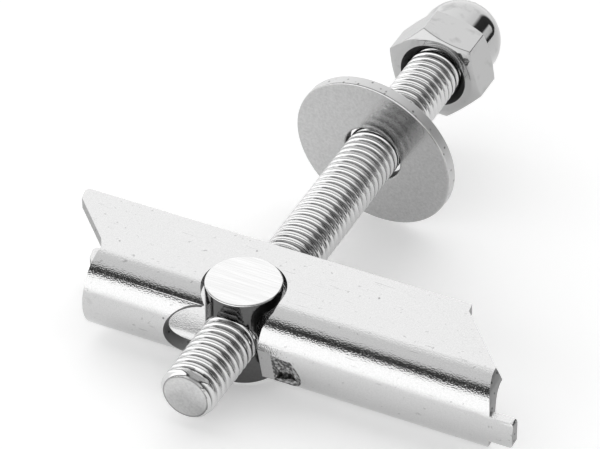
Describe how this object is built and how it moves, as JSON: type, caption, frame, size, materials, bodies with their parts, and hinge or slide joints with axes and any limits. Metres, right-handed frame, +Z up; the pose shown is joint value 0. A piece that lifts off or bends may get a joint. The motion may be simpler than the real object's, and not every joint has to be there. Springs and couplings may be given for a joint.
{
  "type": "gravity toggle bolt",
  "caption": "Gravity toggle bolt: a folded, slotted channel bar swings on a cross barrel nut on a threaded rod, with a wide washer and a domed cap nut at the rod's other end.",
  "frame": {"origin": "centre of the bounding box's base, on the table that the bolt lies on", "axes": "X runs along the toggle bar, +Y along the rod from its free tip to the cap nut (the rod rises 6.8 degrees on the way), +Z is up"},
  "size_m": [0.0538, 0.071, 0.0186],
  "materials": {
    "bar_plating": "bright zinc plate on pressed sheet, faintly grained",
    "barrel_plating": "bright zinc plate on turned bar, finely lined on its end faces",
    "rod_plating": "bright zinc plate on rolled thread",
    "washer_plating": "smooth zinc plate, half gloss",
    "nut_plating": "polished nickel plate"
  },
  "bodies": {
    "rod": {"threaded_rod": "rod_plating"},
    "nut": {"cap_nut": "nut_plating"},
    "barrel": {"barrel_nut": "barrel_plating"},
    "bar": {"toggle_bar": "bar_plating"},
    "washer": {"washer": "washer_plating"}
  },
  "joints": [
    {"name": "nut_turn", "type": "hinge", "parent": "rod", "child": "nut", "pos_m": [-0.00502, 0.02625, 0.01132], "axis": [0, -0.993, -0.118], "range_deg": [-2161, 2521]},
    {"name": "barrel_travel", "type": "slide", "parent": "rod", "child": "barrel", "axis": [0, 0.993, 0.118], "range_m": [-0.006, 0.007]},
    {"name": "bar_swing", "type": "hinge", "parent": "barrel", "child": "bar", "pos_m": [-0.00502, -0.02211, 0.00557], "axis": [0, -0.118, 0.993], "range_deg": [-9, 30]},
    {"name": "washer_slide", "type": "slide", "parent": "rod", "child": "washer", "axis": [0, 0.993, 0.118], "range_m": [-0.0075, 0.0125]}
  ],
  "couplings": [
    {"joint": "nut_turn", "follows": "barrel_travel", "rad_per_m": 6283.2}
  ]
}
